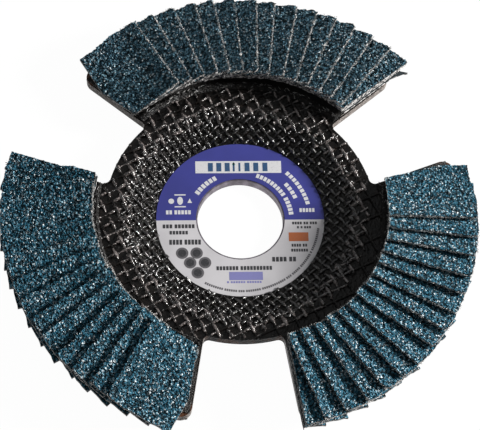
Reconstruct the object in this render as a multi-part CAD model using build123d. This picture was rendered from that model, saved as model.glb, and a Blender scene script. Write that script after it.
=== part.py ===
from build123d import *
from math import asin, atan2, ceil, cos, degrees, hypot, radians, sin, sqrt, tan
import os

# Flap disc for an angle grinder: a pressed fibre plate with three lobes and three
# viewing windows, carrying three shingled fans of abrasive cloth flaps.
# Millimetres. The origin is on the bore axis at the back face of the hub, and +Z
# points to the abrasive side.

# --- driving dimensions -------------------------------------------------------
disc_diameter = 125.0       # circle swept by the outermost flap corners
bore_diameter = 22.23

# bush
bush_wall = 0.8
bush_flange_diameter = 29.0
bush_flange_thickness = 0.4
bush_clearance = 0.05       # between the bush and the plate moulded round it

# backing plate
plate_diameter = 115.0
plate_thickness = 2.7
hub_diameter = 44.6         # flat that the label and the clamp nut lie on
dish_run = 8.2              # radial length of the sloping wall
dish_depth = 3.3            # rim face above hub face
dish_bend = 2.0             # inside radius of the two bends
lobe_count = 3
first_lobe_angle = 90.0     # middle of the lobe that carries fan a, from +X
lobe_corner = 3.0
window_radius = 35.0        # how far in a viewing window reaches
window_span = 33.2          # degrees between a window's sides, at its bottom
window_flare = 7.2          # degrees that each side leans into the window
window_fillet = 1.5
strand_angle = 25.5         # direction of the glass mesh's main strands, from +X
strand_pitch = 5.5
strand_offset = 0.825       # from the bore axis to the nearest strand
strand_width = 0.7
strand_height = 0.4         # above the rim face
strand_clearance = 0.2      # between the strands' ends and the adhesive

# label
label_inner_diameter = 23.0
label_inset = 0.55          # from the edge of the hub
label_thickness = 0.15

# adhesive
bed_thickness = 0.3
bed_outer_diameter = 112.0
bed_inset = 0.4             # from the sides of the lobe
bead_width = 1.1            # bead squeezed out in front of the flaps
bead_height = 1.3
bead_clearance = 0.15       # between the bead and the nearest flap
bed_clearance = 0.05        # between the bed and the flaps' roots

# flaps
flap_width = 17.0
flap_length = 23.1
flap_thickness = 1.1
flap_clearance = 0.1        # between two layers
flap_offset = 4.0           # free edge from the radial line that the flap lies along
flap_pitch = 5.25           # degrees from one flap to the next
flap_count = 15             # in one fan, each with its free edge in view
levelling_count = 3         # cut flaps that hold up the last free edge
flap_scatter = 0.25         # how unevenly the hand-laid flaps reach outwards

# --- derived dimensions -------------------------------------------------------
bore_radius = bore_diameter / 2
bush_radius = bore_radius + bush_wall
hub_height = plate_thickness
rim_height = hub_height + dish_depth
lobe_pitch = 360 / lobe_count
lobe_angles = [first_lobe_angle + number * lobe_pitch for number in range(lobe_count)]

# A lobe's two sides lean out from the radial line and meet inside the hub.
side_angle = (lobe_pitch - window_span) / 2 + window_flare
side_apex = window_radius * sin(radians(window_flare)) / sin(radians(side_angle))

# Along its own radial line a flap runs from inner to outer, from root to free edge.
root_offset = flap_width - flap_offset
flap_outer = sqrt((disc_diameter / 2) ** 2 - root_offset ** 2)
flap_inner = flap_outer - flap_length
root_height = rim_height + bed_thickness + bed_clearance
layer_height = flap_thickness + flap_clearance
stack_height = rim_height + layer_height * (flap_count + levelling_count)

# The last free edge ends where the lobe's side crosses the disc's outside.
side_line_offset = side_apex * sin(radians(side_angle))
side_end_angle = side_angle - degrees(side_line_offset / flap_outer)
last_flap_angle = degrees(atan2(flap_offset, flap_outer)) - side_end_angle
first_flap_angle = last_flap_angle + flap_pitch * (flap_count - 1)

bead_outer = flap_inner - flap_scatter - bead_clearance
bead_inner = bead_outer - bead_width


# --- shared forms -------------------------------------------------------------
def turned(angle, shape):
    """The shape turned anticlockwise about the bore axis."""
    return Rot(0, 0, angle) * shape


def lobe_wedge(inset=0.0):
    """Plan between a lobe's two sides, with the middle of the lobe along +X."""
    apex = side_apex + inset / sin(radians(side_angle))
    run = disc_diameter * cos(radians(side_angle))
    rise = disc_diameter * sin(radians(side_angle))
    return Polygon((apex, 0), (apex + run, -rise), (apex + run, rise))


def lobe_cutter(inset=0.0):
    """Tall wedge that trims what lies on a lobe to the lobe's sides."""
    return extrude(lobe_wedge(inset), amount=stack_height)


def ring(inner_diameter, outer_diameter, bottom, thickness):
    """Flat round washer shape."""
    plan = Circle(outer_diameter / 2) - Circle(inner_diameter / 2)
    return Pos(0, 0, bottom) * extrude(plan, amount=thickness)


def rounded_at(section, x, y, radius):
    """The section with its corner at x, y rounded."""
    corner = section.vertices().sort_by_distance((x, y, 0))[0]
    return fillet(corner, radius)


# --- backing plate ------------------------------------------------------------
def lobe_plan():
    """One lobe from the hub to its two rounded outer corners."""
    seamless_disc = turned(180, Circle(plate_diameter / 2))
    lobe = lobe_wedge() & seamless_disc
    corners = lobe.vertices().sort_by(Axis.X)[-2:]
    return fillet(corners, lobe_corner)


def plate_plan():
    """Round hub and lobes, with a window open to the outside between each two."""
    plan = Circle(window_radius)
    for angle in lobe_angles:
        plan += turned(angle, lobe_plan())
    roots = [v for v in plan.vertices() if hypot(v.X, v.Y) < window_radius + window_fillet]
    return fillet(roots, window_fillet)


def dish_section():
    """Half section of the pressed dish: hub, sloping wall and rim, all one thickness."""
    slope = atan2(dish_depth, dish_run)
    shift = plate_thickness * tan(slope / 2)
    hub_edge = hub_diameter / 2
    wall_top = hub_edge + dish_run
    rim_edge = plate_diameter / 2 + lobe_corner
    inside, outside = dish_bend, dish_bend + plate_thickness
    section = make_face(Polyline(
        (0, 0), (hub_edge + shift, 0), (wall_top + shift, dish_depth), (rim_edge, dish_depth),
        (rim_edge, rim_height), (wall_top, rim_height), (hub_edge, hub_height), (0, hub_height),
        close=True))
    section = rounded_at(section, hub_edge + shift, 0, outside)
    section = rounded_at(section, wall_top + shift, dish_depth, inside)
    section = rounded_at(section, wall_top, rim_height, outside)
    return rounded_at(section, hub_edge, hub_height, inside)


def strands():
    """Main strands of the glass mesh, crossing at right angles and raised from the rim face."""
    half_width, half_crest = strand_width / 2, strand_width / 4
    ridge = make_face(Polyline(
        (-half_width, 0), (half_width, 0), (half_crest, strand_height), (-half_crest, strand_height),
        close=True))
    strand = extrude(Plane.YZ * ridge, amount=bead_inner, both=True)
    count = ceil(bead_inner / strand_pitch)
    mesh = Part()
    for direction in (strand_angle, strand_angle + 90):
        for number in range(-count, count + 1):
            mesh += turned(direction, Pos(0, strand_offset + number * strand_pitch, rim_height) * strand)
    slope = atan2(dish_depth, dish_run)
    bend_end = hub_diameter / 2 + dish_run + (dish_bend + plate_thickness) * tan(slope / 2)
    in_front = plate_plan() & Circle(bead_inner - strand_clearance)
    mesh &= Pos(0, 0, rim_height) * extrude(in_front, amount=strand_height)
    return mesh - Pos(0, 0, rim_height) * extrude(Circle(bend_end), amount=strand_height)


def backing_plate():
    """Pressed fibre plate, cut to its lobes, with a seat for the bush in its back."""
    dish = revolve(Plane.XZ * dish_section(), Axis.Z)
    plate = dish & extrude(plate_plan(), amount=rim_height)
    plate += strands()
    hole = 2 * (bush_radius + bush_clearance)
    seat = bush_flange_diameter + 2 * bush_clearance
    plate -= extrude(Circle(hole / 2), amount=rim_height)
    plate -= extrude(Circle(seat / 2), amount=bush_flange_thickness)
    return plate


# --- bush, label and adhesive -------------------------------------------------
def bush():
    """Metal sleeve through the hub, with its flange flush in the plate's back."""
    sleeve = ring(bore_diameter, 2 * bush_radius, 0, hub_height)
    return sleeve + ring(bore_diameter, bush_flange_diameter, 0, bush_flange_thickness)


def label():
    """Paper ring stuck on the hub."""
    return ring(label_inner_diameter, hub_diameter - 2 * label_inset, hub_height, label_thickness)


def adhesive_bed():
    """Thin bed on a lobe's rim, with a tapering bead along the flaps' inner ends."""
    bed_outer = bed_outer_diameter / 2
    bead_middle = (bead_inner + bead_outer) / 2
    section = make_face(Polyline(
        (bead_inner, rim_height), (bed_outer, rim_height), (bed_outer, rim_height + bed_thickness),
        (bead_outer, rim_height + bed_thickness), (bead_middle, rim_height + bead_height),
        close=True))
    ring_of_glue = revolve(Plane.XZ * section, Axis.Z)
    return ring_of_glue & lobe_cutter(bed_inset)


# --- flaps --------------------------------------------------------------------
def crease(layers, distance):
    """Point of a flap, at that distance along it, where it has climbed that many layers.

    A flap climbs one layer at the root edge of each flap below it, and each root edge is
    turned one pitch clockwise from the one before."""
    turn = radians(layers * flap_pitch)
    across = root_offset / cos(turn) - distance * tan(turn)
    return distance, across, root_height + layers * layer_height


def covered_layers(distance):
    """How many layers a free edge has climbed, at that distance along the flap."""
    free_edge_angle = atan2(flap_offset, distance)
    root_edge_angle = asin(root_offset / hypot(distance, flap_offset))
    return degrees(free_edge_angle + root_edge_angle) / flap_pitch


def slanted_plate(*corners):
    """Piece of cloth as thick as a flap, with its underside through three corners."""
    return extrude(make_face(Polyline(*corners, close=True)), amount=flap_thickness, dir=(0, 0, 1))


def flap_blank():
    """Whole flap along +X, lying on the flaps below it and cut straight along its free edge."""
    flap = Part()
    for layer in range(ceil(covered_layers(flap_inner))):
        inner, outer = crease(layer, flap_inner), crease(layer, flap_outer)
        next_inner, next_outer = crease(layer + 1, flap_inner), crease(layer + 1, flap_outer)
        flap += slanted_plate(inner, outer, next_inner)
        flap += slanted_plate(outer, next_outer, next_inner)
    middle_of_width = root_offset - flap_width / 2
    cloth = Pos((flap_inner + flap_outer) / 2, middle_of_width, 0) * Rectangle(flap_length, flap_width)
    return flap & extrude(cloth, amount=stack_height)


def reach(number):
    """How far a hand-laid flap sits in from its full reach."""
    return -flap_scatter * (1 + sin(2.4 * number)) / 2


def fan_flap(blank, cutter, number):
    """Flap of one fan, counted clockwise from the top of the shingle, cut to the lobe."""
    angle = first_flap_angle - number * flap_pitch
    return turned(angle, Pos(reach(number), 0, 0) * blank) & cutter


# --- the disc -----------------------------------------------------------------
os.makedirs("parts", exist_ok=True)


def save(shape, name):
    export_step(shape, f"parts/{name}.step")


save(backing_plate(), "backing_plate")
save(bush(), "bush")
save(label(), "label")

bed = adhesive_bed()
whole_flap = flap_blank()
trim = lobe_cutter()
fan = [fan_flap(whole_flap, trim, number) for number in range(flap_count + levelling_count)]

for lobe_angle, fan_name in zip(lobe_angles, "abcdefgh"):
    save(turned(lobe_angle, bed), f"adhesive_bed_{fan_name}")
    for number, flap in enumerate(fan, start=1):
        if number <= flap_count:
            name = f"flap_{fan_name}_{number:02d}"
        else:
            name = f"levelling_flap_{fan_name}_{number - flap_count}"
        save(turned(lobe_angle, flap), name)
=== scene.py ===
import random
from math import asin, atan2, ceil, cos, hypot, pi, radians, sin

import bmesh
import bpy
from bpy.props import FloatProperty, FloatVectorProperty, IntProperty, PointerProperty
from mathutils import Matrix, Vector, noise


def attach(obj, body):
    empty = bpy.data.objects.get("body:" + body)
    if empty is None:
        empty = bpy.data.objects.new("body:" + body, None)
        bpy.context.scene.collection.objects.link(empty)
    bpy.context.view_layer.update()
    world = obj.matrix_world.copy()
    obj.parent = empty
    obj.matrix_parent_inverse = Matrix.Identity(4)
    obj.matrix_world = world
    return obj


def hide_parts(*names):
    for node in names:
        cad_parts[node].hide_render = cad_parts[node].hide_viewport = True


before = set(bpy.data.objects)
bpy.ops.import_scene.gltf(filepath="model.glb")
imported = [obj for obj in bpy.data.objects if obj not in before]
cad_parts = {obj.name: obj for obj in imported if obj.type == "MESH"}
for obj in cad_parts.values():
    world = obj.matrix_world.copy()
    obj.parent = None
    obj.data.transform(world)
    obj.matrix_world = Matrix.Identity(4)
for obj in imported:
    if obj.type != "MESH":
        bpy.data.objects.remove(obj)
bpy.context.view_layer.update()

bl_info = {
    "name": "Flap disc",
    "version": (1, 0, 0),
    "blender": (4, 5, 0),
    "location": "View3D > Sidebar > Flap disc",
    "description": "Dresses the flap disc with grain, cloth edges, fibre mesh, label print and a stage",
    "category": "Object",
}

MM = 0.001
FANS = "abc"
LEVELLING = 3      # levelling flaps in a fan
# How each fan was laid and cut, in millimetres: how far out its first and its last flap lie, how
# much is cut away along its two sides at their inner and outer ends, and how far the covered outer
# corners are worn back.
FAN_REACH = {"a": (-0.40, 0.55), "b": (0.30, -0.10), "c": (-0.30, -0.30)}
FAN_TRIM = {"a": ((0.0, 0.0), (0.0, 0.0)), "b": ((0.8, 0.8), (1.2, 1.9)), "c": ((0.3, 1.9), (0.0, 0.0))}
FAN_WEAR = {"a": 0.8, "b": 0.3, "c": 0.95}
FAN_RAG_AND_HIGHLIGHT = {"a": 1.0, "b": 0.0, "c": 0.0}      # painted highlight: how white fan a's lit free edges are painted, as a share, and how much more ragged they run
FAN_THREADS = {"a": 190, "b": 25, "c": 170}      # loose threads along each free edge
STRAY_CORNER = ("a", 18)      # the levelling flap whose outer corner the saw missed
SIDE_INNER, SIDE_OUTER = 33.0 * MM, 56.0 * MM      # the two ends of a side, from the lobe's apex
BURIED_FROM = 31.5 * MM      # where resin starts to bury the rovings, from the axis
FAN_C_SHADOW_FROM = 33.2 * MM      # painted shadow: from here out, in front of fan c, the rovings are left out, so the plate reads smooth and dark where the fan's shadow falls
BEAD_INNER, BEAD_OUTER = 36.5 * MM, 38.3 * MM      # the bead of adhesive, from the axis
BEAD_HALF = radians(43.0)      # how far a bead runs to each side of its lobe's middle
BEAD_FIBRES = 160


# --- what a user can change -----------------------------------------------------
def size_property(name, size, description):
    """Length, given here in millimetres."""
    return FloatProperty(name=name, description=description, default=size * MM, unit="LENGTH")


def angle_property(name, angle, description):
    """Angle, given here in degrees."""
    return FloatProperty(name=name, description=description, default=radians(angle), subtype="ANGLE")


def colour_property(name, colour, description):
    return FloatVectorProperty(name=name, description=description, default=colour, subtype="COLOR")


class FlapDiscFans(bpy.types.PropertyGroup):
    """Sizes of the cloth flaps and of the grain on them."""

    pitch: angle_property("Pitch", 5.25, "Turn from one flap to the next")
    width: size_property("Width", 17.0, "Width of a flap, from root to free edge")
    length: size_property("Length", 23.1, "Length of a flap, from inner to outer end")
    outer: size_property("Outer end", 61.13, "Distance of a flap's outer end from the axis")
    thickness: size_property("Thickness", 1.1, "Cloth and grain together")
    layer: size_property("Layer", 1.2, "Height that each flap below adds")
    offset: size_property("Edge offset", 4.0, "Free edge from the radial line")
    root_height: size_property("Root height", 6.35, "Underside of a flap's root")
    first_angle: angle_property("First flap", 30.55, "Top flap, from the lobe's middle")
    side_angle: angle_property("Lobe side", 50.6, "Direction of a lobe's cut sides")
    side_apex: size_property("Lobe apex", 5.677, "Where a lobe's sides meet")
    count: IntProperty(name="Flaps", description="Flaps with a free edge in view", default=15)
    cell: size_property("Cell", 1.0, "Mesh cell before the grain is cut in")
    grain_cuts: IntProperty(name="Grain cuts", description="Cuts in each cell for the grain", default=4)
    grain: size_property("Grain size", 0.62, "Across one abrasive grain")
    grain_height: size_property("Grain height", 0.40, "How far grains stand up")
    edge_lift: size_property("Edge lift", 0.55, "How far a free edge curls up")


class FlapDiscPlate(bpy.types.PropertyGroup):
    """Sizes of the pressed plate and of the glass mesh that shows on it."""

    hub_radius: size_property("Hub", 22.3, "Radius of the flat hub")
    hub_height: size_property("Hub face", 2.7, "Height of the hub's front face")
    dish_run: size_property("Dish run", 8.2, "Radial length of the sloping wall")
    dish_depth: size_property("Dish depth", 3.3, "Rim face above the hub face")
    window_radius: size_property("Window", 35.0, "How far in a window reaches")
    rim_radius: size_property("Rim", 57.5, "Radius of the lobes")
    coarse_pitch: size_property("Coarse pitch", 2.75, "Between rovings on the rim")
    fine_pitch: size_property("Fine pitch", 1.95, "Between rovings on the sloping wall")
    strand_stand: size_property("Strand height", 0.10, "Rim rovings above the rim face")
    roving: size_property("Roving", 0.43, "Radius of a roving")


class FlapDiscLabel(bpy.types.PropertyGroup):
    """Sizes and colours of the label and its plain print."""

    turn: angle_property("Turn", 0.4, "How the label was stuck on, about the axis")
    boundary: size_property("Boundary", -0.3, "Line between the two fields, from the axis")
    face: size_property("Face", 2.85, "Height of the label's face")
    inner: size_property("Hole", 11.5, "Radius of the label's hole")
    outer: size_property("Outside", 21.75, "Radius of the label")
    ink: size_property("Ink", 0.02, "Thickness of the print")
    blue: colour_property("Blue", (0.042, 0.048, 0.285), "Upper field")
    grey: colour_property("Grey", (0.640, 0.625, 0.650), "Lower field")
    dark: colour_property("Dark", (0.030, 0.030, 0.035), "Dark print")
    white: colour_property("White", (0.700, 0.700, 0.720), "Light print")


class FlapDiscCamera(bpy.types.PropertyGroup):
    """Where the camera and the lamps stand."""

    distance: size_property("Distance", 510.8, "Camera to label")
    elevation: angle_property("Elevation", 64.505, "Camera above the disc's plane")
    turn: angle_property("Turn", -6.8, "Camera about the bore axis")
    roll: angle_property("Roll", 6.11, "Camera about its own axis")
    lens: FloatProperty(name="Lens", description="Focal length in millimetres", default=147.95)
    aim_x: size_property("Aim across", -0.196, "Aim point from the axis")
    aim_y: size_property("Aim away", 1.104, "Aim point from the axis")
    key_elevation: angle_property("Key elevation", 23.5, "Key lamp above the disc's plane")
    key_azimuth: angle_property("Key azimuth", 12, "Key lamp, from the camera's right")
    key_strength: FloatProperty(name="Key strength", description="Power of the key lamp in watts",
                                default=15.2)
    fill_strength: FloatProperty(name="Fill strength", description="Surrounding light", default=0.09)


# --- shader node helpers ---------------------------------------------------------
def new_material(name):
    """Material with an empty Principled shader, as (material, tree)."""
    material = bpy.data.materials.new(name)
    material.use_nodes = True
    return material, material.node_tree


def feed(tree, socket, value):
    """Links an input to another node's output, or sets it to a value."""
    if isinstance(value, bpy.types.NodeSocket):
        tree.links.new(value, socket)
    else:
        socket.default_value = value


def finish_surface(material, **inputs):
    """The material with its shader's inputs set or linked; a _ in a key stands for a space."""
    tree = material.node_tree
    for key, value in inputs.items():
        feed(tree, tree.nodes["Principled BSDF"].inputs[key.replace("_", " ")], value)
    return material


def add_node(tree, kind, inputs=None, **settings):
    """Node of that kind with its settings and its input values or links."""
    node = tree.nodes.new(kind)
    for key, value in settings.items():
        setattr(node, key, value)
    for key, value in (inputs or {}).items():
        feed(tree, node.inputs[key], value)
    return node


def math_node(tree, operation, first, second=0.0, clamp=False):
    """Result socket of a Math node."""
    node = add_node(tree, "ShaderNodeMath", {0: first, 1: second}, operation=operation, use_clamp=clamp)
    return node.outputs[0]


def mix_colour(tree, factor, first, second):
    """Colour socket between two colours, each a socket or three numbers."""
    node = add_node(tree, "ShaderNodeMix", {0: factor}, data_type="RGBA")
    for socket, value in ((node.inputs[6], first), (node.inputs[7], second)):
        feed(tree, socket, (*value, 1.0) if isinstance(value, tuple) else value)
    return node.outputs[2]


def mix_value(tree, factor, first, second):
    """Value socket between two values."""
    node = add_node(tree, "ShaderNodeMix", {0: factor, 2: first, 3: second}, data_type="FLOAT")
    return node.outputs[0]


def ramp(tree, factor, low, high):
    """Value that rises smoothly from 0 at low to 1 at high."""
    node = add_node(tree, "ShaderNodeMapRange", {"Value": factor, "From Min": low, "From Max": high},
                    interpolation_type="SMOOTHSTEP")
    return node.outputs["Result"]


def spread(tree, share, low, high):
    """Value that runs evenly from low at a share of 0 to high at 1."""
    node = add_node(tree, "ShaderNodeMapRange", {"Value": share, "To Min": low, "To Max": high})
    return node.outputs["Result"]


def noise_value(tree, point, scale, detail=2.0, roughness=0.5):
    """Noise at a point."""
    node = add_node(tree, "ShaderNodeTexNoise", {"Vector": point, "Scale": scale, "Detail": detail,
                                                 "Roughness": roughness})
    return node.outputs[0]


def cell_node(tree, point, scale):
    """Voronoi node at a point."""
    return add_node(tree, "ShaderNodeTexVoronoi", {"Vector": point, "Scale": scale}, feature="F1")


def attribute(tree, name):
    """Value that the mesh carries under that name."""
    return add_node(tree, "ShaderNodeAttribute", attribute_name=name).outputs["Fac"]


def bump(tree, height, distance, strength=1.0):
    """Normal socket of a Bump node, its distance in millimetres."""
    node = add_node(tree, "ShaderNodeBump", {"Height": height, "Distance": distance * MM,
                                             "Strength": strength})
    return node.outputs["Normal"]


def new_group(name, inputs, outputs):
    """Shader node group of value sockets, as (group, input node, output node)."""
    group = bpy.data.node_groups.new(name, "ShaderNodeTree")
    for label, value in inputs:
        socket = group.interface.new_socket(label, in_out="INPUT", socket_type="NodeSocketFloat")
        socket.default_value = value
    for label in outputs:
        group.interface.new_socket(label, in_out="OUTPUT", socket_type="NodeSocketFloat")
    return group, group.nodes.new("NodeGroupInput"), group.nodes.new("NodeGroupOutput")


def use_group(tree, group, **values):
    """Outputs of the group placed in a material with its own values."""
    node = tree.nodes.new("ShaderNodeGroup")
    node.node_tree = group
    for key, value in values.items():
        node.inputs[key.replace("_", " ")].default_value = value
    return node.outputs


def object_point(tree):
    """Object coordinates in millimetres, so that texture scales read as cells per millimetre."""
    place = tree.nodes.new("ShaderNodeTexCoord")
    node = add_node(tree, "ShaderNodeVectorMath", {0: place.outputs["Object"], 1: (1000, 1000, 1000)},
                    operation="MULTIPLY")
    return node.outputs[0]


def upright_face(tree):
    """1 where the surface stands upright."""
    surface = tree.nodes.new("ShaderNodeNewGeometry")
    facing = add_node(tree, "ShaderNodeSeparateXYZ", {0: surface.outputs["True Normal"]})
    return math_node(tree, "LESS_THAN", math_node(tree, "ABSOLUTE", facing.outputs["Z"]), 0.2)


def axis_distance(tree):
    """Distance from the bore axis in millimetres."""
    place = add_node(tree, "ShaderNodeVectorMath", {0: object_point(tree), 1: (1, 1, 0)},
                     operation="MULTIPLY")
    node = add_node(tree, "ShaderNodeVectorMath", {0: place.outputs[0]}, operation="LENGTH")
    return node.outputs["Value"]


def sawn_side(tree, start):
    """1 on the upright faces beyond that radius, where the saw cut the lobes' sides."""
    beyond = math_node(tree, "GREATER_THAN", axis_distance(tree), start)
    return math_node(tree, "MULTIPLY", upright_face(tree), beyond)


def browned(tree, dirt):
    """Where the resin is thin and brown: in patches on upright faces, and all over the lobes' tips."""
    patches = math_node(tree, "MULTIPLY", upright_face(tree), ramp(tree, dirt, 0.46, 0.60))
    tips = ramp(tree, axis_distance(tree), 53.0, 54.5)
    return math_node(tree, "MAXIMUM", patches, tips)


# --- shared effects --------------------------------------------------------------
def grain_group():
    """Broken abrasive grains: a shade per grain, its height, and a painted glint that marks the few grains
    whose facets are painted near white.
    """
    group, given, result = new_group("Abrasive grain", [("Grains per mm", 1.9), ("Chip", 0.5)],
                                     ["Shade", "Height", "Painted glint"])
    per_mm, chip = given.outputs[:2]
    point = object_point(group)
    cells = cell_node(group, point, per_mm)
    chips = cell_node(group, point, math_node(group, "MULTIPLY", per_mm, 2.3))
    shade = add_node(group, "ShaderNodeSeparateColor", {0: cells.outputs["Color"]})
    chip_shade = add_node(group, "ShaderNodeSeparateColor", {0: chips.outputs["Color"]})
    joined = math_node(group, "MULTIPLY", chip_shade.outputs[0], chip)
    both = math_node(group, "ADD", shade.outputs[0], joined)
    feed(group, result.inputs["Shade"], math_node(group, "DIVIDE", both,
                                                  math_node(group, "ADD", chip, 1.0)))
    dome = math_node(group, "SUBTRACT", 1.0, cells.outputs["Distance"], clamp=True)
    small_dome = math_node(group, "SUBTRACT", 1.0, chips.outputs["Distance"], clamp=True)
    small_dome = math_node(group, "MULTIPLY", small_dome, 0.45)
    feed(group, result.inputs["Height"], math_node(group, "ADD", dome, small_dome))
    # Painted glint: a few grains, picked at random, are painted near white, standing in for the lamp's
    # glints on their facets.
    glint_pick = math_node(group, "MULTIPLY", shade.outputs[1], chip_shade.outputs[1])
    feed(group, result.inputs["Painted glint"], ramp(group, glint_pick, 0.52, 0.72))
    return group


def fibre_group():
    """Fine parallel filaments and dirt, for cut cloth, rovings and resin."""
    group, given, result = new_group("Filaments", [("Threads per mm", 2.5), ("Dirt per mm", 0.6)],
                                     ["Thread", "Dirt", "Speck"])
    threads, dirt = given.outputs[:2]
    point = object_point(group)
    specks = cell_node(group, point, math_node(group, "MULTIPLY", threads, 1.7))
    feed(group, result.inputs["Thread"], noise_value(group, point, threads, 2.0, 0.6))
    feed(group, result.inputs["Dirt"], noise_value(group, point, dirt, 4.0, 0.62))
    feed(group, result.inputs["Speck"], specks.outputs["Distance"])
    return group


# --- finishes --------------------------------------------------------------------
def grain_material(name, grains, dust):
    """Blue-grey zirconia grain in glossy resin, with painted glints on some grains and painted shade between
    them, worn back to cloth where it frays, and with a painted highlight along fan a's free edges; dust
    lightens the colours as painted light.
    """
    material, tree = new_material(name)
    shade, height, painted_glint = use_group(tree, grains, Grains_per_mm=1.6, Chip=0.6)
    dark, pale = (0.020, 0.104, 0.160), (0.044, 0.180, 0.270)
    # dust is painted light: it raises the grain colours and lets more grains take the pale tone, for fan a,
    # whose flaps face away from the key lamp.
    body = mix_colour(tree, ramp(tree, shade, 0.25, 0.70), tuple(value + dust for value in dark),
                      tuple(value + dust for value in pale))
    lit = mix_colour(tree, ramp(tree, shade, 0.70 - dust, 0.88 - dust), body, (0.360, 0.580, 0.680))
    # Painted glints: the picked grains turn near white.
    glinted = mix_colour(tree, painted_glint, lit, (0.92, 0.97, 0.98))
    # Painted shade: the low places between grains turn near black, standing in for the shade that falls
    # between them.
    grain = mix_colour(tree, ramp(tree, height, 0.56, 0.86), (0.004, 0.014, 0.020), glinted)
    # Pale where the cloth frays at the inner ends, and as a painted highlight along fan a's free edges.
    colour = mix_colour(tree, attribute(tree, "fray_and_highlight"), grain, (0.42, 0.43, 0.42))
    return finish_surface(material, Base_Color=colour, Roughness=spread(tree, shade, 0.52, 0.24),
                          Normal=bump(tree, height, 0.30), Specular_IOR_Level=0.28,
                          Specular_Tint=(0.60, 0.86, 1.0, 1.0))


def cloth_edge_material(filaments):
    """Cut edge of a flap: dark grain and resin above, bare polyester cloth below."""
    material, tree = new_material("cut_cloth_edge")
    thread, dirt, speck = use_group(tree, filaments, Threads_per_mm=1.2, Dirt_per_mm=0.55)
    ragged = math_node(tree, "ADD", attribute(tree, "depth"), math_node(tree, "MULTIPLY", speck, -0.35))
    cloth = mix_colour(tree, ramp(tree, thread, 0.45, 0.55), (0.050, 0.048, 0.046), (0.800, 0.785, 0.770))
    soiled = mix_colour(tree, ramp(tree, dirt, 0.50, 0.64), cloth, (0.085, 0.085, 0.085))
    colour = mix_colour(tree, ramp(tree, ragged, 0.06, 0.20), (0.012, 0.022, 0.028), soiled)
    return finish_surface(material, Base_Color=colour, Roughness=0.82,
                          Normal=bump(tree, thread, 0.12, 0.8))


def cloth_back_material(filaments):
    """Underside of the abrasive cloth: beige polyester twill, stiff with size."""
    material, tree = new_material("cloth_back")
    wave = {"Vector": object_point(tree), "Scale": 0.42, "Distortion": 0.7, "Detail": 1.0,
            "Detail Scale": 2.0}
    twill = add_node(tree, "ShaderNodeTexWave", wave, bands_direction="DIAGONAL").outputs["Fac"]
    thread, dirt, _speck = use_group(tree, filaments, Threads_per_mm=3.0, Dirt_per_mm=0.25)
    weave = mix_colour(tree, twill, (0.205, 0.180, 0.145), (0.430, 0.395, 0.335))
    colour = mix_colour(tree, ramp(tree, dirt, 0.45, 0.75), weave, (0.150, 0.140, 0.130))
    return finish_surface(material, Base_Color=colour, Roughness=0.78,
                          Normal=bump(tree, math_node(tree, "ADD", twill, thread), 0.10, 0.8))


def thread_material():
    """Loose polyester threads, pale and a little grimy."""
    material, tree = new_material("loose_thread")
    wander = noise_value(tree, object_point(tree), 0.9)
    colour = mix_colour(tree, ramp(tree, wander, 0.38, 0.62), (0.340, 0.350, 0.350), (0.780, 0.770, 0.750))
    return finish_surface(material, Base_Color=colour, Roughness=0.6)


def plate_material(filaments):
    """Black phenolic resin over glass fibre, pitted, and bare fibre where a lobe's side was sawn."""
    material, tree = new_material("fibre_plate")
    thread, dirt, speck = use_group(tree, filaments, Threads_per_mm=1.1, Dirt_per_mm=0.35)
    body = mix_colour(tree, ramp(tree, dirt, 0.35, 0.70), (0.0028, 0.0024, 0.0022), (0.0080, 0.0060, 0.0050))
    moulded = mix_colour(tree, ramp(tree, thread, 0.64, 0.80), body, (0.030, 0.022, 0.017))
    sawn = mix_colour(tree, ramp(tree, thread, 0.36, 0.60), (0.120, 0.103, 0.092), (0.300, 0.265, 0.245))
    scorched = mix_colour(tree, browned(tree, dirt), moulded, (0.095, 0.038, 0.018))
    height = math_node(tree, "ADD", thread, math_node(tree, "MULTIPLY", speck, 0.4))
    return finish_surface(material, Base_Color=mix_colour(tree, sawn_side(tree, 35.7), scorched, sawn),
                          Roughness=spread(tree, dirt, 0.42, 0.18), Normal=bump(tree, height, 0.35),
                          Specular_IOR_Level=mix_value(tree, upright_face(tree), 0.28, 0.05))


def roving_material(name, filaments, bare_from, bare_colour):
    """Glass roving under a thin glossy film of black resin, rubbed bare where its thread noise is high."""
    material, tree = new_material(name)
    thread, dirt, speck = use_group(tree, filaments, Threads_per_mm=1.0, Dirt_per_mm=0.4)
    film = mix_colour(tree, ramp(tree, dirt, 0.40, 0.62), (0.0035, 0.0028, 0.0025), (0.0110, 0.0080, 0.0065))
    bare = mix_colour(tree, ramp(tree, thread, bare_from, bare_from + 0.14), film, bare_colour)
    height = math_node(tree, "SUBTRACT", thread, math_node(tree, "MULTIPLY", speck, 0.9))
    return finish_surface(material, Base_Color=bare, Roughness=spread(tree, dirt, 0.32, 0.14),
                          Normal=bump(tree, height, 0.40), Specular_IOR_Level=1.0, Coat_Weight=0.6,
                          Coat_Roughness=0.13, Coat_IOR=1.7)


def resin_material(filaments):
    """Dark set adhesive, rough with chopped fibre."""
    material, tree = new_material("set_adhesive")
    thread, dirt, speck = use_group(tree, filaments, Threads_per_mm=2.0, Dirt_per_mm=0.7)
    dark = mix_colour(tree, ramp(tree, dirt, 0.40, 0.66), (0.003, 0.003, 0.003), (0.012, 0.010, 0.009))
    fibred = mix_colour(tree, ramp(tree, thread, 0.64, 0.78), dark, (0.090, 0.080, 0.070))
    colour = mix_colour(tree, sawn_side(tree, 39.0), fibred, (0.320, 0.290, 0.265))
    return finish_surface(material, Base_Color=colour, Roughness=0.5,
                          Normal=bump(tree, math_node(tree, "ADD", thread, speck), 0.25))


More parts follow.
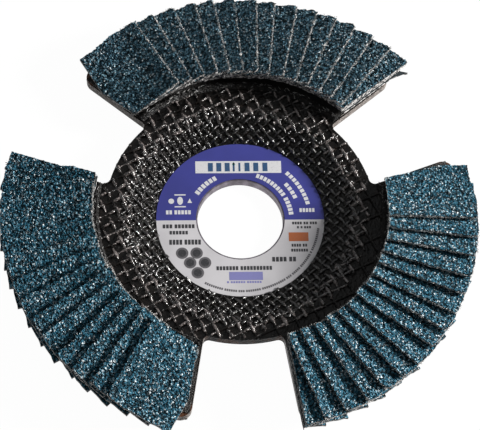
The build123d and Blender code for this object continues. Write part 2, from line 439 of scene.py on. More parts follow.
def bush_material(filaments):
    """Rolled steel with a dull oxide and fine rubbed streaks."""
    material, tree = new_material("rolled_steel")
    thread, dirt, _speck = use_group(tree, filaments, Threads_per_mm=4.0, Dirt_per_mm=0.5)
    colour = mix_colour(tree, ramp(tree, dirt, 0.35, 0.70), (0.150, 0.132, 0.150), (0.325, 0.285, 0.335))
    return finish_surface(material, Base_Color=colour, Roughness=spread(tree, thread, 0.36, 0.58),
                          Normal=bump(tree, thread, 0.02, 0.5), Metallic=0.85)


def paper_material(label):
    """Coated label paper, blue above a straight line and grey below it."""
    material, tree = new_material("label_paper")
    point = object_point(tree)
    turned = add_node(tree, "ShaderNodeVectorRotate", {"Vector": point, "Angle": -label.turn},
                      rotation_type="Z_AXIS")
    across = add_node(tree, "ShaderNodeSeparateXYZ", {0: turned.outputs[0]})
    upper = math_node(tree, "GREATER_THAN", across.outputs["Y"], label.boundary / MM)
    tooth = noise_value(tree, point, 2.4, 3.0)
    cloud = ramp(tree, noise_value(tree, point, 0.10), 0.3, 0.7)
    blue = mix_colour(tree, cloud, tuple(label.blue), tuple(0.82 * value for value in label.blue))
    grey = mix_colour(tree, cloud, tuple(label.grey), tuple(0.86 * value for value in label.grey))
    return finish_surface(material, Base_Color=mix_colour(tree, upper, grey, blue),
                          Roughness=spread(tree, tooth, 0.42, 0.62), Normal=bump(tree, tooth, 0.02, 0.4))


def ink_material(name, colour):
    """Print on the label, slightly uneven."""
    material, tree = new_material(name)
    wear = ramp(tree, noise_value(tree, object_point(tree), 3.0), 0.5, 0.8)
    worn = tuple(0.7 * value + 0.06 for value in colour)
    return finish_surface(material, Base_Color=mix_colour(tree, wear, tuple(colour), worn), Roughness=0.5)


# --- mesh helpers ----------------------------------------------------------------
def finish_piece(name, bm, materials, slot, *nodes):
    """Object from the bmesh, riding on the disc and standing for the nodes it replaces."""
    mesh = bpy.data.meshes.new(name)
    bm.to_mesh(mesh)
    bm.free()
    piece = bpy.data.objects.new(name, mesh)
    bpy.context.scene.collection.objects.link(piece)
    for material in materials:
        mesh.materials.append(material)
    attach(piece, "root")
    if nodes:
        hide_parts(*nodes)
    return piece


def smooth_step(value):
    """Value eased between 0 and 1."""
    value = min(max(value, 0.0), 1.0)
    return value * value * (3 - 2 * value)


def unevenness(x, y, seed, size):
    """Noise from -1 to 1 at a place, in lumps of that size in millimetres."""
    return noise.noise(Vector((x, y, seed)) / (size * MM))


def turn_about_axis(angle):
    return Matrix.Rotation(angle, 4, "Z")


def lobe_turn(fan):
    """Direction of the middle of a fan's lobe."""
    return radians(90) + FANS.index(fan) * radians(120)


def only_verts(made):
    """Vertices among the geometry that an operator made."""
    return [item for item in made["geom"] if isinstance(item, bmesh.types.BMVert)]


def paint(made, index):
    """Gives a material to the faces on the vertices that an operator made."""
    for face in {face for vert in made["verts"] for face in vert.link_faces}:
        face.material_index = index


def add_fibre(bm, middle, direction, length, thick, index):
    """Thin tapered rod of one material."""
    pose = Matrix.Translation(middle) @ direction.to_track_quat("Z", "Y").to_matrix().to_4x4()
    made = bmesh.ops.create_cone(bm, cap_ends=True, segments=3, radius1=thick, radius2=0.5 * thick,
                                 depth=length, matrix=pose)
    paint(made, index)


# --- flaps -----------------------------------------------------------------------
GRAIN_FACE, EDGE_FACE, BACK_FACE, THREAD_FACE = range(4)


def flap_height(fans, x, y):
    """Underside of a flap: one layer up for each root edge that it has crossed."""
    reach = hypot(x, y)
    root_offset = fans.width - fans.offset
    turn = asin(min(root_offset / reach, 1.0)) - atan2(y, x)
    return fans.root_height + fans.layer * turn / fans.pitch


def grain_bump(fans, x, y, seed):
    """Height of the grain at a place on a flap, in metres."""
    place = Vector((x / fans.grain, y / fans.grain, seed))
    nearest, second = noise.voronoi(place, distance_metric="DISTANCE", exponent=2.5)[0][:2]
    ridge = min(second - nearest, 0.6) / 0.6
    tilt = noise.cell(place * 0.77) - 0.5
    return fans.grain_height * (0.85 * ridge - 0.42 + 0.30 * tilt)


def flap_slab(fans):
    """Flat flap of coarse cells along +X, one thickness deep, with its top at zero."""
    bm = bmesh.new()
    inner = fans.outer - fans.length
    cells_x, cells_y = round(fans.length / fans.cell), round(fans.width / fans.cell)
    bmesh.ops.create_grid(bm, x_segments=cells_x, y_segments=cells_y, size=0.5)
    bmesh.ops.scale(bm, vec=(fans.length, fans.width, 1), verts=bm.verts)
    middle_y = fans.width / 2 - fans.offset
    bmesh.ops.translate(bm, vec=(inner + fans.length / 2, middle_y, 0), verts=bm.verts)
    lower = only_verts(bmesh.ops.extrude_face_region(bm, geom=bm.faces[:]))
    bmesh.ops.translate(bm, vec=(0, 0, -fans.thickness), verts=lower)
    bmesh.ops.recalc_face_normals(bm, faces=bm.faces)
    return bm


def trim_to_lobe(bm, fans, angle, short):
    """Cuts the slab along the two sides of its lobe, angle being the flap's turn from the middle."""
    apex, back = Vector((fans.side_apex, 0, 0)), turn_about_axis(-angle)
    for side, (inner, outer) in zip((1, -1), short):
        along = Vector((cos(fans.side_angle), side * sin(fans.side_angle), 0))
        across = Vector((-sin(fans.side_angle), side * cos(fans.side_angle), 0))
        start = apex + SIDE_INNER * along - inner * MM * across
        end = apex + SIDE_OUTER * along - outer * MM * across
        outward = turn_about_axis(-side * pi / 2) @ (start - end)
        cut = bmesh.ops.bisect_plane(bm, geom=bm.verts[:] + bm.edges[:] + bm.faces[:],
                                     plane_co=back @ start, plane_no=back @ outward.normalized(),
                                     clear_outer=True)
        edges = [item for item in cut["geom_cut"] if isinstance(item, bmesh.types.BMEdge)]
        if edges:
            bmesh.ops.edgeloop_fill(bm, edges=edges)


def cut_in_grain(bm, fans, depth_limit):
    """Finer cells on the part of the top face that no other flap covers."""
    top = [face for face in bm.faces if face.normal.z > 0.5
           and face.calc_center_median().y < depth_limit]
    edges = {edge for face in top for edge in face.edges}
    bmesh.ops.subdivide_edges(bm, edges=list(edges), cuts=fans.grain_cuts, use_grid_fill=True)


def worn_corner(fans, x, y, wear):
    """How far a flap's outer corners are worn back, the covered one and the free one."""
    covered = smooth_step((y - 1.0 * MM) / (9.0 * MM))
    outside = smooth_step((x - fans.outer + 4.0 * MM) / (4.0 * MM))
    rounded = smooth_step(1 - (y + fans.offset) / (1.2 * MM))
    return (wear * covered + 0.35 * rounded) * MM * outside


def edge_run(x, y, seed):
    """How far a cut edge wanders at a place, in metres."""
    fine, slow = unevenness(x, y, seed + 5, 0.7), unevenness(x, y, seed + 17, 3.5)
    return 0.38 * MM * fine + 0.34 * MM * slow


def paint_flap(bm, fans, covered):
    """Grain above, cloth below and cut edges between; a covered flap is bare but for its outer end."""
    for face in bm.faces:
        bare = covered and face.calc_center_median().x < fans.outer - 1.5 * MM
        if face.normal.z > 0.5 and not bare:
            face.material_index = GRAIN_FACE
        elif face.normal.z < -0.5:
            face.material_index = BACK_FACE
        else:
            face.material_index = EDGE_FACE


def shape_flap(bm, fans, fan, seed, jitter, curl):
    """Twists the slab over the flaps below, raises its grain and frayed edges, and marks the frayed ends and
    fan a's painted edge highlight for the shader.
    """
    fray_and_highlight = bm.verts.layers.float.new("fray_and_highlight")
    depth = bm.verts.layers.float.new("depth")
    inner, free_edge = fans.outer - fans.length, -fans.offset
    for vert in bm.verts:
        x, y, z = vert.co
        vert[depth] = -z / fans.thickness
        top = 1.0 if z > -0.01 * MM else 0.0
        to_edge = min(y - free_edge, x - inner, fans.outer - x)
        patch = smooth_step(0.5 + 3.0 * unevenness(x, y, seed, 1.1))
        worn_end = 1 - smooth_step((x - inner) / (0.08 * MM))
        # Painted highlight: along fan a's free edge the top turns pale, standing in for the key lamp
        # lighting that edge.
        painted_edge_highlight = FAN_RAG_AND_HIGHLIGHT[fan] * (1 - smooth_step((y - free_edge) / (0.38 * MM)))
        vert[fray_and_highlight] = top * patch * max(worn_end, painted_edge_highlight)
        near_edge = 1 - smooth_step(to_edge / (0.9 * MM))
        lift = flap_height(fans, x, y) + fans.thickness + z
        lift += near_edge * 0.10 * MM * unevenness(x, y, seed + 9, 1.7)
        lift += curl * (1 - smooth_step((y - free_edge) / (5.0 * MM)))
        if top:
            lift += grain_bump(fans, x, y, seed) * (1 if to_edge > 0 else 0.4) - 0.04 * MM
        wander = edge_run(x, y, seed) * (1 + 0.5 * FAN_RAG_AND_HIGHLIGHT[fan])
        x -= worn_corner(fans, x, y, FAN_WEAR[fan])
        if to_edge < 0.01 * MM:
            if abs(y - free_edge) < 0.01 * MM:
                y += wander - 0.05 * MM
            else:
                x += 0.6 * wander
        vert.co = Vector((x, y, lift + jitter))


def push_out_corner(bm, fans):
    """Lets the covered outer corner stick out past the lobe's side."""
    for vert in bm.verts:
        vert.co.y -= 1.7 * MM * smooth_step((vert.co.x - fans.outer + 3.2 * MM) / (1.2 * MM))


def on_lobe(fans, angle, place, short):
    """Whether a point of the flap, turned by that angle from the lobe's middle, is on the lobe."""
    there = turn_about_axis(angle) @ place
    along, across = there.x - fans.side_apex, abs(there.y)
    inner, outer = short[0 if there.y > 0 else 1]
    distance = along * cos(fans.side_angle) + across * sin(fans.side_angle)
    share = (distance - SIDE_INNER) / (SIDE_OUTER - SIDE_INNER)
    inset = (inner + (outer - inner) * share) * MM
    return along * sin(fans.side_angle) - across * cos(fans.side_angle) > inset


def add_threads(bm, fans, fan, angle, number, curl, count, start, run, outward):
    """Loose threads along a cut edge: start is its first point and run leads to its last."""
    chance = random.Random(number + count)
    for _ in range(count):
        place = start + run * chance.random()
        if not on_lobe(fans, angle, place, FAN_TRIM[fan]):
            continue
        height = (flap_height(fans, place.x, place.y) + curl * (place.y < 0)
                  + fans.thickness * chance.uniform(0.05, 0.92))
        length = chance.uniform(0.20, 0.62) * MM
        thick = chance.choice((0.05, 0.06, 0.11)) * MM
        lean = Vector((chance.uniform(-1, 1), chance.uniform(-1, 1), chance.uniform(-0.8, 0.5)))
        direction = (outward * 0.9 + lean).normalized()
        middle = Vector((place.x, place.y, height)) + direction * length * 0.35
        add_fibre(bm, middle, direction, length, thick, THREAD_FACE)


def fray_edges(bm, fans, fan, angle, number, curl):
    """Loose threads along the free edge and the two ends that show."""
    inner = Vector((fans.outer - fans.length, -fans.offset, 0))
    outer = Vector((fans.outer, -fans.offset, 0))
    visible = Vector((0, 5.0 * MM, 0))
    edges = ((FAN_THREADS[fan], inner, outer - inner, Vector((0, -1, 0))),
             (40, inner, visible, Vector((-1, 0, 0))),
             (14, outer, visible, Vector((1, 0, 0))))
    for edge in edges:
        add_threads(bm, fans, fan, angle, number, curl, *edge)


def build_flap(fans, number, fan, materials):
    """One flap of a fan, counted clockwise from 1 at the top of the shingle."""
    levelling = number > fans.count
    chance = random.Random(100 * FANS.index(fan) + number)
    turn = fans.first_angle - (number - 1) * fans.pitch
    curl = fans.edge_lift if number < fans.count else 0.0
    bm = flap_slab(fans)
    trim_to_lobe(bm, fans, turn, FAN_TRIM[fan])
    if not levelling:
        cut_in_grain(bm, fans, fans.width if number == 1 else 2.6 * MM)
    paint_flap(bm, fans, levelling)
    seed = 7.0 * number + 31.0 * FANS.index(fan)
    shape_flap(bm, fans, fan, seed, chance.uniform(-0.05, 0.05) * MM, curl)
    if (fan, number) == STRAY_CORNER:
        push_out_corner(bm, fans)
    if not levelling:
        fray_edges(bm, fans, fan, turn, number, curl)
    wobble = chance.uniform(-0.006, 0.006)
    first, last = FAN_REACH[fan]
    reach = first + (last - first) * (number - 1) / (fans.count - 1) + chance.uniform(-0.30, 0.20)
    slide = Matrix.Translation((reach * MM, 0, 0))
    placed = turn_about_axis(lobe_turn(fan) + turn + wobble) @ slide
    bmesh.ops.transform(bm, matrix=placed, verts=bm.verts)
    node = f"levelling_flap_{fan}_{number - fans.count}" if levelling else f"flap_{fan}_{number:02d}"
    finish_piece(f"cloth_{node}", bm, materials, "abrasive_cloth", node)


# --- plate -----------------------------------------------------------------------
def dish_height(plate, radius):
    """Height of the plate's front face at a radius, with its two bends eased."""
    slope = plate.dish_depth / plate.dish_run
    wall_top = plate.hub_radius + plate.dish_run
    ease_in, ease_out = 0.39 * MM, 0.91 * MM
    if radius < plate.hub_radius - ease_in:
        return plate.hub_height
    if radius < plate.hub_radius + ease_in:
        return plate.hub_height + slope * (radius - plate.hub_radius + ease_in) ** 2 / (4 * ease_in)
    if radius < wall_top - ease_out:
        return plate.hub_height + slope * (radius - plate.hub_radius)
    rim = plate.hub_height + plate.dish_depth
    if radius < wall_top + ease_out:
        return rim - slope * (wall_top + ease_out - radius) ** 2 / (4 * ease_out)
    return rim


def on_plate(fans, plate, x, y, margin):
    """Whether a point lies on the plate, clear of its edges and windows by a margin."""
    radius = hypot(x, y)
    if radius < plate.window_radius - margin:
        return True
    if radius > plate.rim_radius - margin:
        return False
    sector = (atan2(y, x) - radians(90) + radians(60)) % radians(120) - radians(60)
    along, across = radius * cos(sector) - fans.side_apex, abs(radius * sin(sector))
    inside = along * sin(fans.side_angle) - across * cos(fans.side_angle)
    return inside > margin


def roving_lines(pitch, reach, direction, shift):
    """Start points and direction of parallel rovings that cover a disc."""
    along = Vector((cos(direction), sin(direction)))
    across = Vector((-along.y, along.x))
    count = ceil(reach / pitch)
    return along, [(across * (step + shift) * pitch, step) for step in range(-count, count + 1)]


def roving_runs(along, start, reach, step, inside):
    """Stretches of a line that lie where inside says, as lists of (point, distance)."""
    runs, run = [], []
    for index in range(int(2 * reach / step) + 1):
        distance = index * step - reach
        point = start + along * distance
        if inside(point):
            run.append((point, distance))
        elif run:
            runs.append(run)
            run = []
    return [found for found in runs + [run] if len(found) > 2]


def glass_mesh(name, pitch, radius, direction, shift, reach, height_at, inside, materials):
    """Two crossing families of rovings woven over and under each other, a material for each."""
    curve = bpy.data.curves.new(name, "CURVE")
    curve.dimensions = "3D"
    curve.bevel_depth = radius
    curve.bevel_resolution = 0
    curve.use_fill_caps = True
    step, wave = pitch / 6, 0.75
    for family, stand in enumerate((0.05, -0.05)):
        along, lines = roving_lines(pitch, reach, direction + family * pi / 2, shift)
        for start, index in lines:
            for run in roving_runs(along, start, reach, step, inside):
                spline = curve.splines.new("POLY")
                spline.material_index = family
                spline.points.add(len(run) - 1)
                for knot, (point, distance) in zip(spline.points, run):
                    phase = pi * (distance / pitch - shift + index + family)
                    wander = unevenness(point.x, point.y, 3.0 * family, 2.4)
                    side = Vector((-along.y, along.x)) * 0.22 * MM * wander
                    lift = radius * (stand + wave * cos(phase) + 0.18 * wander)
                    knot.co = (point.x + side.x, point.y + side.y, height_at(point) + lift, 1)
                    sunk = 0.35 * smooth_step((point.length - BURIED_FROM) / (3.0 * MM))
                    knot.radius = (1.0 + 0.3 * family) * (1.0 - sunk + 0.25 * wander + 0.15 * cos(phase))
    wires = bpy.data.objects.new(name, curve)
    mesh = bpy.data.meshes.new_from_object(wires)
    bpy.data.objects.remove(wires)
    bm = bmesh.new()
    bm.from_mesh(mesh)
    bmesh.ops.recalc_face_normals(bm, faces=bm.faces)
    for face in bm.faces:
        face.smooth = True
    finish_piece(name, bm, materials, "fibre_plate")


# --- adhesive --------------------------------------------------------------------
def chop_fibres(bm, fans, fan):
    """Short fibres that stick out of the bead."""
    chance = random.Random(FANS.index(fan) + 900)
    for _ in range(BEAD_FIBRES):
        angle = lobe_turn(fan) + chance.uniform(-BEAD_HALF, BEAD_HALF)
        radius = chance.uniform(36.7, 38.2) * MM
        height = fans.root_height + chance.uniform(0.3, 1.1) * MM
        place = Vector((radius * cos(angle), radius * sin(angle), height))
        sideways = Vector((-sin(angle), cos(angle), 0)) * chance.choice((-1, 1))
        lean = Vector((chance.uniform(-1, 1), chance.uniform(-1, 1), chance.uniform(-0.2, 0.8)))
        direction = (sideways + lean * 0.7).normalized()
        add_fibre(bm, place, direction, chance.uniform(0.4, 1.3) * MM, 0.06 * MM, 1)


def build_bead(fans, fan, materials):
    """Lumpy bead of adhesive along the inner ends of a fan, with chopped fibres in it."""
    bm = bmesh.new()
    bmesh.ops.create_grid(bm, x_segments=300, y_segments=14, size=0.5)
    lower = set(only_verts(bmesh.ops.extrude_face_region(bm, geom=bm.faces[:])))
    for vert in bm.verts:
        angle, share = lobe_turn(fan) + 2 * BEAD_HALF * vert.co.x, vert.co.y + 0.5
        radius = BEAD_INNER + (BEAD_OUTER - BEAD_INNER) * share
        place = Vector((radius * cos(angle), radius * sin(angle), 0))
        lump = noise.fractal(place / (0.9 * MM), 0.7, 2.0, 3)
        crown = sin(pi * min(max(share * 0.8 + 0.05, 0), 1)) ** 0.7
        height = 0 if vert in lower else (0.25 + 0.95 * crown + 0.40 * lump * crown) * MM
        place.x += 0.15 * MM * unevenness(place.x, place.y, 0, 1.1)
        vert.co = place + Vector((0, 0, fans.root_height - 0.35 * MM + height))
    bmesh.ops.recalc_face_normals(bm, faces=bm.faces)
    chop_fibres(bm, fans, fan)
    finish_piece(f"adhesive_bead_{fan}", bm, materials, "adhesive")


# --- label print -----------------------------------------------------------------
INKS = ("white", "dark", "tint", "navy", "warm", "grey", "teal")
WHITE, DARK, TINT, NAVY, WARM, GREY, TEAL = range(len(INKS))
# Plain blocks in place of words, in millimetres from the axis: where each line's middle is, its
# width and height, the letters in each of its words, and its ink.
LINES = ((-16.0, 2.0, 6.4, 1.15, (2, 5), WHITE), (17.4, 2.4, 3.9, 1.1, (5,), WHITE),
         (-16.0, -2.0, 8.2, 1.1, (3, 6), DARK), (-16.0, -3.8, 4.7, 1.0, (6,), DARK),
         (-14.4, -6.5, 8.1, 1.4, (4, 5), DARK), (16.6, -1.3, 6.4, 0.75, (4, 2, 3), DARK),
         (16.4, -2.5, 3.6, 0.65, (1, 1, 3), DARK), (15.0, -7.6, 4.0, 0.8, (4, 2), DARK),
         (15.0, -9.0, 4.3, 0.8, (7,), DARK), (10.9, -11.5, 6.1, 1.3, (4, 2), DARK),
         (0.6, -13.9, 14.2, 1.1, (7, 10), DARK), (0.5, -17.8, 8.8, 0.55, (1, 6, 6), TINT))
# The same for lines that run round the label, by radius and by first and last angle.
ARCS = ((13.3, 147, 117, 1.3, (6,), WHITE), (13.3, 70, 5, 1.2, (9, 5), WHITE),
        (18.2, 47, 13, 1.1, (9,), WHITE), (15.7, 40, 22, 1.1, (4,), WHITE),
        (20.3, -118, -8, 0.6, (9, 6, 3, 7, 12, 3, 5, 8, 1, 12), GREY))
DOTS = ((-15.2, -9.6), (-11.5, -9.6), (-13.2, -12.3), (-9.4, -12.3), (-11.3, -15.1))
# Letters of the large line in the white bar, as middle and width.
LARGE_LETTERS = ((-7.4, 1.3), (-5.2, 1.3), (-3.0, 1.3), (-1.3, 0.5), (0.2, 0.5), (2.2, 1.3),
                 (4.5, 1.3), (6.9, 1.3))


def print_block(bm, label, matrix, width, height, index, segments=4):
    """Flat field of ink; four segments make a block and more make a dot."""
    radius = 0.5 * hypot(1, 1) if segments == 4 else 0.5
    spin = turn_about_axis(radians(45) if segments == 4 else 0.0)
    on_face = Matrix.Translation((0, 0, label.face + label.ink / 2))
    shape = on_face @ matrix @ Matrix.Diagonal((width, height, 1, 1)) @ spin
    made = bmesh.ops.create_cone(bm, cap_ends=True, segments=segments, radius1=radius,
                                 radius2=radius, depth=label.ink, matrix=shape)
    paint(made, index)


def letter_blocks(words):
    """Places of plain blocks for words of so many letters, as (middle, width) shares of the line."""
    gap, space = 0.32, 0.95
    total = sum(words) * (1 + gap) - gap * len(words) + space * (len(words) - 1)
    blocks, position = [], 0.0
    for letters in words:
        for _ in range(letters):
            blocks.append(((position + 0.5) / total, 1 / total))
            position += 1 + gap
        position += space - gap
    return blocks


def print_words(bm, label, x, y, width, height, words, index):
    """Level line of small plain blocks in place of words."""
    for middle, share in letter_blocks(words):
        matrix = Matrix.Translation((x * MM + (middle - 0.5) * width * MM, y * MM, 0))
        print_block(bm, label, matrix, share * width * MM, height * MM, index)


def print_arc(bm, label, radius, start, end, height, words, index):
    """Line of small plain blocks set round the label, from one angle to another in degrees."""
    for middle, share in letter_blocks(words):
        angle = radians(start + (end - start) * middle)
        matrix = turn_about_axis(angle - pi / 2) @ Matrix.Translation((0, radius * MM, 0))
        width = abs(radians(end - start)) * share * radius * MM
        print_block(bm, label, matrix, width, height * MM, index)


# --- operators -------------------------------------------------------------------
FINISHES = {}      # materials that several operators share


def finishes(context):
    """The disc's materials by name, built the first time they are asked for."""
    if not FINISHES:
        grains, filaments = grain_group(), fibre_group()
        label = context.scene.flap_disc_label
        FINISHES.update(
            grain=grain_material("zirconia_grain", grains, 0.0),
            # The copy for fan a is painted light, lighter all over.
            dusty=grain_material("dusty_grain", grains, 0.05), edge=cloth_edge_material(filaments),
            back=cloth_back_material(filaments), thread=thread_material(),
            plate=plate_material(filaments),
            coated=roving_material("resin_coated_roving", filaments, 0.62, (0.085, 0.070, 0.060)),
            rubbed=roving_material("rubbed_roving", filaments, 0.42, (0.200, 0.172, 0.165)),
            resin=resin_material(filaments), bush=bush_material(filaments),
            paper=paper_material(label), white=ink_material("white_ink", label.white),
            dark=ink_material("dark_ink", label.dark),
            tint=ink_material("tinted_ink", (0.22, 0.22, 0.48)),
            navy=ink_material("navy_ink", (0.020, 0.075, 0.180)),
            warm=ink_material("warm_ink", (0.420, 0.120, 0.040)),
            grey=ink_material("grey_ink", (0.110, 0.105, 0.115)),
            teal=ink_material("teal_ink", (0.110, 0.440, 0.380)))
    return FINISHES


def dress_node(name, material):
    """Gives a CAD node its finish."""
    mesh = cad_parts[name].data
    mesh.materials.clear()
    mesh.materials.append(material)


class OBJECT_OT_flap_disc_plate(bpy.types.Operator):
    """Finish the pressed plate and lay the glass mesh on both its faces"""

    bl_idname = "object.flap_disc_plate"
    bl_label = "Plate and glass mesh"

    def execute(self, context):
        plate, fans = context.scene.flap_disc_plate, context.scene.flap_disc_fans
        made = finishes(context)
        dress_node("backing_plate", made["plate"])
        wall_top = plate.hub_radius + plate.dish_run
        label_edge = context.scene.flap_disc_label.outer + 0.15 * MM
        bead_front = 37.0 * MM
        fan_c = Vector((cos(radians(-30)), sin(radians(-30))))

        def front(point):
            return dish_height(plate, point.length) - 0.02 * MM

        def front_rim(point):
            return dish_height(plate, point.length) + plate.strand_stand

        # Painted shadow: in front of fan c the rim rovings are left out, so the plate shows smooth and dark
        # where the fan casts its shadow.
        def in_fan_c_shadow(point):
            return point.length > FAN_C_SHADOW_FROM and point.dot(fan_c) > 0.6 * point.length

        def on_rim(point):
            return (wall_top - 2.5 * MM < point.length < bead_front and not in_fan_c_shadow(point)
                    and on_plate(fans, plate, point.x, point.y, 0.3 * MM))

        def on_wall(point):
            return label_edge < point.length < wall_top + 0.3 * MM

        glass_mesh("glass_mesh_rim", plate.coarse_pitch, plate.roving, radians(25.5), 0.3,
                   bead_front, front_rim, on_rim, [made["rubbed"], made["coated"]])
        glass_mesh("glass_mesh_wall", plate.fine_pitch, plate.roving, radians(40.0), 0.1,
                   wall_top, front, on_wall, [made["coated"], made["coated"]])

        def back(point):
            return dish_height(plate, point.length) - plate.hub_height + 0.14 * MM

        def on_back(point):
            return 24 * MM < point.length and on_plate(fans, plate, point.x, point.y, 0.6 * MM)

        glass_mesh("glass_mesh_back", 3.2 * MM, plate.roving, radians(12.0), 0.0,
                   plate.rim_radius, back, on_back, [made["coated"], made["coated"]])
        return {"FINISHED"}


class OBJECT_OT_flap_disc_bush(bpy.types.Operator):
    """Finish the steel bush"""

    bl_idname = "object.flap_disc_bush"
    bl_label = "Bush"

    def execute(self, context):
        dress_node("bush", finishes(context)["bush"])
        return {"FINISHED"}


class OBJECT_OT_flap_disc_label(bpy.types.Operator):
    """Finish the label and print plain bars, blocks and dots on it"""

    bl_idname = "object.flap_disc_label"
    bl_label = "Label and print"

    def execute(self, context):
        label = context.scene.flap_disc_label
        made = finishes(context)
        dress_node("label", made["paper"])
        bm = bmesh.new()

        def block(x, y, width, height, index, segments=4, level=0):
            place = Matrix.Translation((x * MM, y * MM, level * label.ink))
            print_block(bm, label, place, width * MM, height * MM, index, segments)

        block(-0.1, 15.0, 22.5, 3.5, WHITE)
        for y in (3.6, 7.0):
            block(-15.5, y, 2.9, 0.35, WHITE)
        block(-15.5, 5.3, 1.5, 2.3, WHITE, 20)
        block(-17.8, 5.2, 1.5, 1.5, WHITE, 20)
        block(-13.0, 5.1, 1.4, 1.7, WHITE, 3)
        block(14.9, -5.2, 5.1, 2.5, WARM)
        block(1.0, -16.1, 8.6, 2.3, TINT)
        block(-1.3, 15.9, 1.1, 1.1, TEAL, 3, level=1)
        for x, width in LARGE_LETTERS:
            block(x, 15.0, width, 2.5, NAVY, level=1)
        for x, y in DOTS:
            block(x, y, 3.2, 3.2, GREY, 24)
            block(x, y, 2.1, 2.1, DARK, 24, level=1)
        for line in LINES:
            print_words(bm, label, *line)
        for arc in ARCS:
            print_arc(bm, label, *arc)
        bmesh.ops.transform(bm, matrix=turn_about_axis(label.turn), verts=bm.verts)
        finish_piece("label_print", bm, [made[name] for name in INKS], "label_paper")
        return {"FINISHED"}


class OBJECT_OT_flap_disc_adhesive(bpy.types.Operator):
    """Finish the adhesive beds and lay the lumpy beads"""

    bl_idname = "object.flap_disc_adhesive"
    bl_label = "Adhesive"

    def execute(self, context):
        made = finishes(context)
        for fan in FANS:
            dress_node(f"adhesive_bed_{fan}", made["resin"])
            build_bead(context.scene.flap_disc_fans, fan, [made["resin"], made["thread"]])
        return {"FINISHED"}


class OBJECT_OT_flap_disc_flaps(bpy.types.Operator):
    """Replace each flap by cloth with grain, cut edges and loose threads"""

    bl_idname = "object.flap_disc_flaps"
    bl_label = "Cloth flaps"

    def execute(self, context):
        fans = context.scene.flap_disc_fans
        made = finishes(context)
        for fan in FANS:
            # Fan a takes the lighter copy of the grain: painted light for flaps that face away from the key
            # lamp.
            grain = made["dusty" if fan == "a" else "grain"]
            materials = [grain, made["edge"], made["back"], made["thread"]]
            for number in range(1, fans.count + LEVELLING + 1):
                build_flap(fans, number, fan, materials)
        return {"FINISHED"}


def lamp(name, azimuth, elevation, turn, distance, size, power, colour):
    """Square area lamp aimed at the disc; azimuth runs anticlockwise from the camera's right."""
    data = bpy.data.lights.new(name, "AREA")
    data.shape, data.size, data.energy, data.color = "SQUARE", size, power, colour
    item = bpy.data.objects.new(name, data)
    bpy.context.scene.collection.objects.link(item)
    angle = azimuth + turn
    place = distance * Vector((cos(elevation) * cos(angle), cos(elevation) * sin(angle), sin(elevation)))
    item.matrix_world = Matrix.Translation(place) @ place.to_track_quat("Z", "Y").to_matrix().to_4x4()


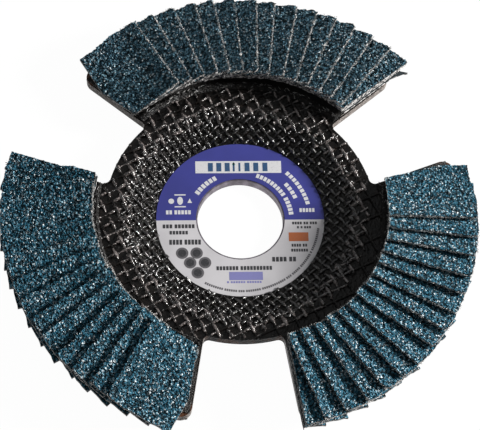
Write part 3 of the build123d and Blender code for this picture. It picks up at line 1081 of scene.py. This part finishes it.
class OBJECT_OT_flap_disc_stage(bpy.types.Operator):
    """Set the floor, the lamps, the world and the camera"""

    bl_idname = "object.flap_disc_stage"
    bl_label = "Stage"

    def execute(self, context):
        view = context.scene.flap_disc_camera
        self.floor()
        self.world(view)
        lamp("key_lamp", view.key_azimuth, view.key_elevation, view.turn, 0.9, 0.20,
             view.key_strength, (1.0, 0.985, 0.965))
        lamp("top_lamp", radians(130), radians(62), view.turn, 0.9, 1.3, 1.9, (0.95, 0.98, 1.0))
        self.camera(context, view)
        context.scene.view_settings.view_transform = "Standard"
        return {"FINISHED"}

    def floor(self):
        bm = bmesh.new()
        bmesh.ops.create_grid(bm, x_segments=1, y_segments=1, size=1.5)
        bmesh.ops.translate(bm, vec=(0, 0, -0.05 * MM), verts=bm.verts)
        mesh = bpy.data.meshes.new("floor")
        bm.to_mesh(mesh)
        bm.free()
        material, tree = new_material("studio_paper")
        finish_surface(material, Base_Color=(0.5, 0.5, 0.5, 1), Roughness=0.9)
        glow = add_node(tree, "ShaderNodeEmission", {"Color": (1, 1, 1, 1), "Strength": 1.05})
        path = tree.nodes.new("ShaderNodeLightPath")
        seen = math_node(tree, "MAXIMUM", path.outputs["Is Camera Ray"], path.outputs["Is Glossy Ray"])
        seen = math_node(tree, "MAXIMUM", seen, path.outputs["Is Transmission Ray"])
        share = math_node(tree, "MULTIPLY", seen, 0.93)
        paper = tree.nodes["Principled BSDF"].outputs[0]
        blend = add_node(tree, "ShaderNodeMixShader", {0: share, 1: paper, 2: glow.outputs[0]})
        feed(tree, tree.nodes["Material Output"].inputs["Surface"], blend.outputs[0])
        mesh.materials.append(material)
        floor = bpy.data.objects.new("floor", mesh)
        bpy.context.scene.collection.objects.link(floor)

    def world(self, view):
        world = bpy.data.worlds.new("studio")
        world.use_nodes = True
        tree = world.node_tree
        path = tree.nodes.new("ShaderNodeLightPath")
        background = tree.nodes["Background"]
        strength = mix_value(tree, path.outputs["Is Camera Ray"], view.fill_strength, 1.0)
        feed(tree, background.inputs["Color"], (1, 1, 1, 1))
        feed(tree, background.inputs["Strength"], strength)
        bpy.context.scene.world = world

    def camera(self, context, view):
        data = bpy.data.cameras.new("camera")
        data.sensor_fit, data.sensor_width, data.lens = "HORIZONTAL", 36, view.lens
        data.clip_start, data.clip_end = 0.01, 10
        camera = bpy.data.objects.new("camera", data)
        context.scene.collection.objects.link(camera)
        away = Vector((0, -cos(view.elevation), sin(view.elevation)))
        right = Vector((1, 0, 0))
        up = away.cross(right)
        aim = Vector((view.aim_x, view.aim_y, context.scene.flap_disc_label.face))
        looking = Matrix((right, up, away)).transposed().to_4x4()
        pose = Matrix.Translation(aim + view.distance * away) @ looking @ Matrix.Rotation(view.roll, 4, "Z")
        camera.matrix_world = turn_about_axis(view.turn) @ pose
        context.scene.camera = camera


class VIEW3D_PT_flap_disc(bpy.types.Panel):
    """Lists the disc's operators in the sidebar"""

    bl_label = "Flap disc"
    bl_idname = "VIEW3D_PT_flap_disc"
    bl_space_type = "VIEW_3D"
    bl_region_type = "UI"
    bl_category = "Flap disc"

    def draw(self, context):
        for operator in OPERATORS:
            self.layout.operator(operator.bl_idname)


OPERATORS = (OBJECT_OT_flap_disc_plate, OBJECT_OT_flap_disc_bush, OBJECT_OT_flap_disc_label,
             OBJECT_OT_flap_disc_adhesive, OBJECT_OT_flap_disc_flaps, OBJECT_OT_flap_disc_stage)
GROUPS = {"flap_disc_fans": FlapDiscFans, "flap_disc_plate": FlapDiscPlate,
          "flap_disc_label": FlapDiscLabel, "flap_disc_camera": FlapDiscCamera}


def register():
    for name, group in GROUPS.items():
        bpy.utils.register_class(group)
        setattr(bpy.types.Scene, name, PointerProperty(type=group))
    for item in (*OPERATORS, VIEW3D_PT_flap_disc):
        bpy.utils.register_class(item)


def unregister():
    for item in reversed((*OPERATORS, VIEW3D_PT_flap_disc)):
        bpy.utils.unregister_class(item)
    for name, group in GROUPS.items():
        delattr(bpy.types.Scene, name)
        bpy.utils.unregister_class(group)


def main():
    register()
    bpy.ops.object.flap_disc_plate()
    bpy.ops.object.flap_disc_bush()
    bpy.ops.object.flap_disc_label()
    bpy.ops.object.flap_disc_adhesive()
    bpy.ops.object.flap_disc_flaps()
    bpy.ops.object.flap_disc_stage()


if __name__ == "__main__":
    main()
